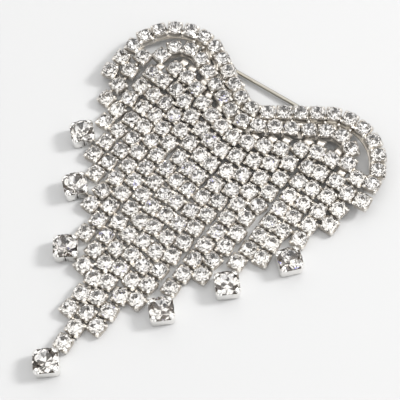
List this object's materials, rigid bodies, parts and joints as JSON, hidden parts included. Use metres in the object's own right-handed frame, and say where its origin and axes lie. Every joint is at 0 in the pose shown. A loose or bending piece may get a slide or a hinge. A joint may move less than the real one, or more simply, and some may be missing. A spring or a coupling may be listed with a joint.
{
  "type": "tassel brooch",
  "caption": "Silver-plated brooch with a double heart-shaped arch of cut stones, a fringe of stone-set cup chains in a tapering tassel, large square end settings and a hinged pin.",
  "frame": {"origin": "middle of the outline in plan, on the surface that the brooch lies on", "axes": "+X to the right as seen from the front, +Y up the tassel from the lowest stone to the arches, +Z out of the front, away from the surface"},
  "size_m": [0.0668, 0.0852, 0.0048],
  "materials": {
    "silver_plate": "bright silver plating on cast and stamped metal",
    "set_chain": "bright silver-plated cups with clear foiled stones",
    "crystal": "clear cut glass with a silver foil back",
    "pin_steel": "nickel-plated steel wire"
  },
  "bodies": {
    "brooch": {"crown_frame": "silver_plate", "outer_arch_stones": "crystal", "inner_arch_stones": "crystal", "strand_centre": "set_chain", "strand_left_1": "set_chain", "strand_left_2": "set_chain", "strand_left_3": "set_chain", "strand_left_4": "set_chain", "strand_left_5": "set_chain", "strand_left_6": "set_chain", "strand_left_7": "set_chain", "strand_right_1": "set_chain", "strand_right_2": "set_chain", "strand_right_3": "set_chain", "strand_right_4": "set_chain", "strand_right_5": "set_chain", "strand_right_6": "set_chain", "strand_right_7": "set_chain", "tail_left_inner": "set_chain", "tail_left_outer": "set_chain", "tail_right_inner": "set_chain", "tail_right_outer": "set_chain", "end_setting_centre": "silver_plate", "end_setting_left_3": "silver_plate", "end_setting_left_5": "silver_plate", "end_setting_left_7": "silver_plate", "end_setting_right_3": "silver_plate", "end_setting_right_5": "silver_plate", "end_setting_right_7": "silver_plate", "end_stone_centre": "crystal", "end_stone_left_3": "crystal", "end_stone_left_5": "crystal", "end_stone_left_7": "crystal", "end_stone_right_3": "crystal", "end_stone_right_5": "crystal", "end_stone_right_7": "crystal"},
    "pin": {"pin_stem": "pin_steel"}
  },
  "joints": [
    {"name": "pin_hinge", "type": "hinge", "parent": "brooch", "child": "pin", "pos_m": [-0.01626, 0.03875, 0.0008], "axis": [0, 1, 0], "range_deg": [0, 70]}
  ]
}
